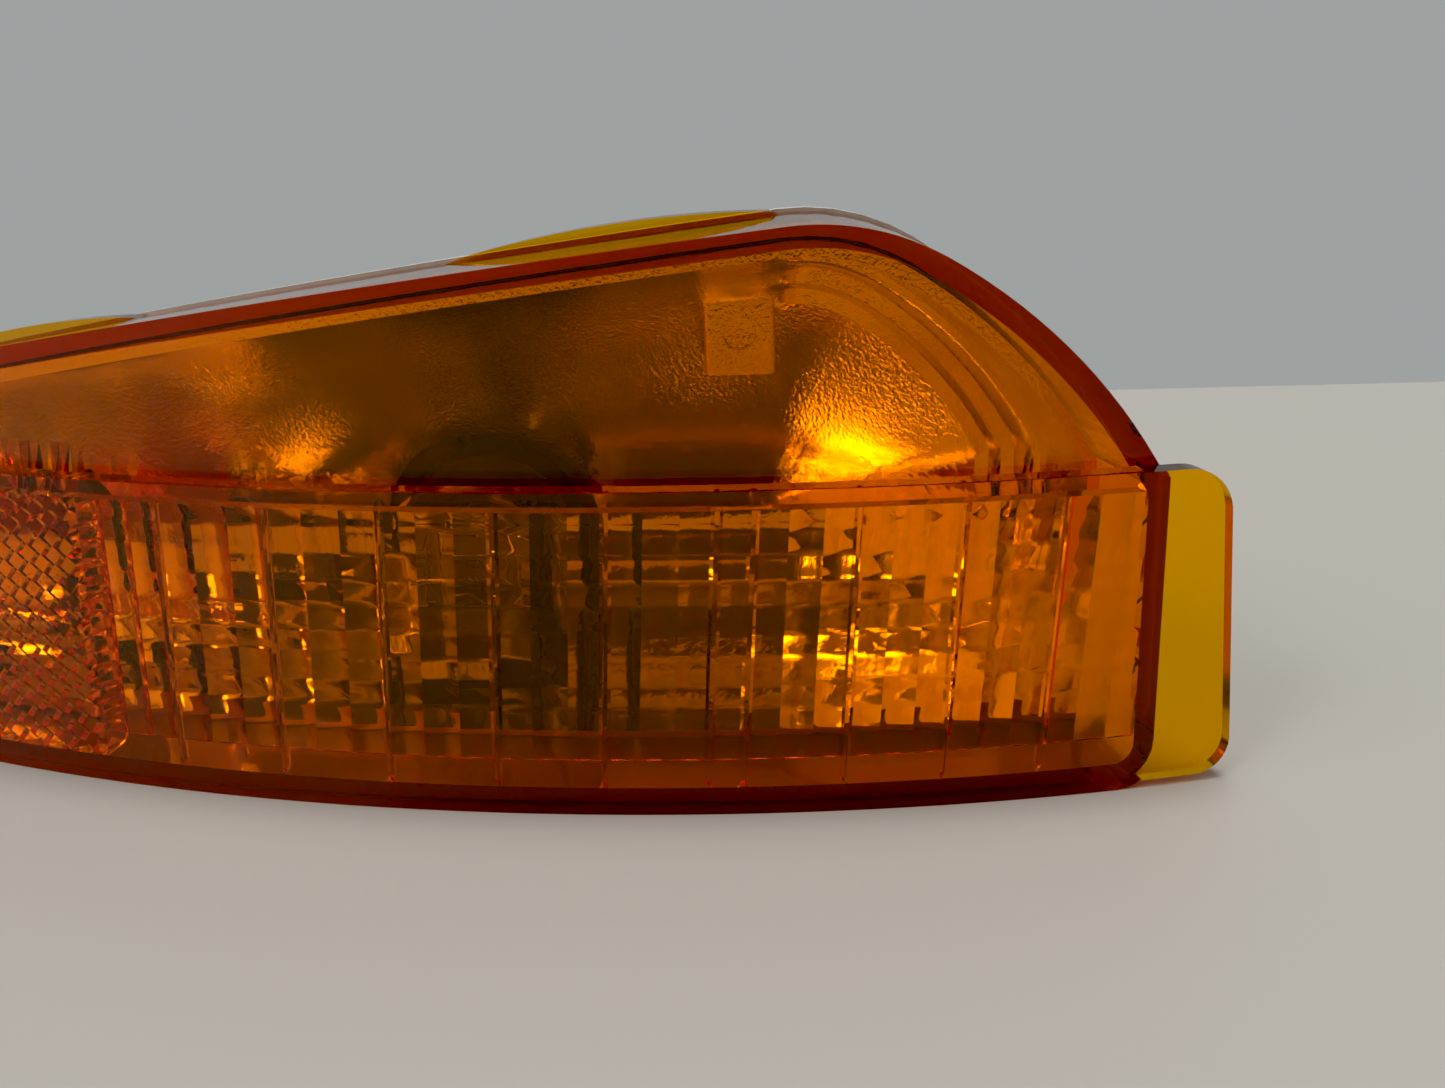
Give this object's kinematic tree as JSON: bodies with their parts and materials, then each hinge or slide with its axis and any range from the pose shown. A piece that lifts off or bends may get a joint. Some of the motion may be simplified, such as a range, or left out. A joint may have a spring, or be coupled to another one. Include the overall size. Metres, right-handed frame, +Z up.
{
  "type": "turn signal lamp",
  "caption": "Curved front park and turn signal lamp with an amber lens, side marker end, reflector housing, twist-lock bulb sockets and stud mounts.",
  "frame": {"origin": "centre of the lamp's bounding box in plan, at the height of its lower edge", "axes": "+X along the lamp towards its inboard end, -Y out of the lens face, +Y back towards the bodywork, +Z up"},
  "size_m": [0.2105, 0.1, 0.0641],
  "materials": {
    "amber_lens": "clear moulded acrylic, polished",
    "housing_plastic": "moulded, metallised inside",
    "sealant": "extruded bead",
    "socket_plastic": "moulded",
    "rubber": "matte",
    "foam": "open-cell",
    "terminal_brass": "stamped",
    "bulb_base": "moulded",
    "bulb_glass": "clear",
    "lead_wire": "drawn",
    "tungsten": "coiled wire",
    "plated_steel": "yellow zinc plated"
  },
  "bodies": {
    "root": {"lens": "amber_lens", "lens_seal": "sealant", "housing": "housing_plastic", "stud_inboard": "plated_steel", "stud_outboard": "plated_steel", "vent_cap": "rubber", "vent_foam": "foam"},
    "main_light": {"main_socket": "socket_plastic", "main_socket_gasket": "rubber", "main_terminal_turn": "terminal_brass", "main_terminal_park": "terminal_brass", "main_terminal_ground": "terminal_brass", "main_bulb_base": "bulb_base", "main_bulb_glass": "bulb_glass", "turn_lead_outboard": "lead_wire", "turn_lead_inboard": "lead_wire", "park_lead_outboard": "lead_wire", "park_lead_inboard": "lead_wire", "turn_filament": "tungsten", "park_filament": "tungsten"},
    "marker_light": {"marker_socket": "socket_plastic", "marker_socket_gasket": "rubber", "marker_terminal_feed": "terminal_brass", "marker_terminal_ground": "terminal_brass", "marker_bulb_glass": "bulb_glass", "marker_lead_outboard": "lead_wire", "marker_lead_inboard": "lead_wire", "marker_filament": "tungsten"},
    "inboard_washer": {"washer_inboard": "plated_steel"},
    "inboard_nut": {"nut_inboard": "plated_steel"},
    "outboard_washer": {"washer_outboard": "plated_steel"},
    "outboard_nut": {"nut_outboard": "plated_steel"}
  },
  "joints": [
    {"name": "main_socket_twist", "type": "hinge", "parent": "root", "child": "main_light", "pos_m": [0.01633, 0.0075, 0.018], "axis": [0, 1, 0], "range_deg": [0, 30]},
    {"name": "marker_socket_twist", "type": "hinge", "parent": "root", "child": "marker_light", "pos_m": [-0.04159, 0.01164, 0.02], "axis": [0.461, 0.8874, 0], "range_deg": [0, 30]},
    {"name": "inboard_nut_travel", "type": "slide", "parent": "root", "child": "inboard_washer", "axis": [0, 1, 0], "range_m": [-0.002, 0.008]},
    {"name": "inboard_nut_spin", "type": "hinge", "parent": "inboard_washer", "child": "inboard_nut", "pos_m": [0.05076, 0.008, 0.0485], "axis": [0, 1, 0], "range_deg": [-900, 3600]},
    {"name": "outboard_nut_travel", "type": "slide", "parent": "root", "child": "outboard_washer", "axis": [0, 1, 0], "range_m": [-0.002, 0.008]},
    {"name": "outboard_nut_spin", "type": "hinge", "parent": "outboard_washer", "child": "outboard_nut", "pos_m": [-0.05969, 0.032, 0.019], "axis": [0, 1, 0], "range_deg": [-900, 3600]}
  ],
  "couplings": [
    {"joint": "inboard_nut_spin", "follows": "inboard_nut_travel", "rad_per_m": 7854},
    {"joint": "outboard_nut_spin", "follows": "outboard_nut_travel", "rad_per_m": 7854}
  ]
}
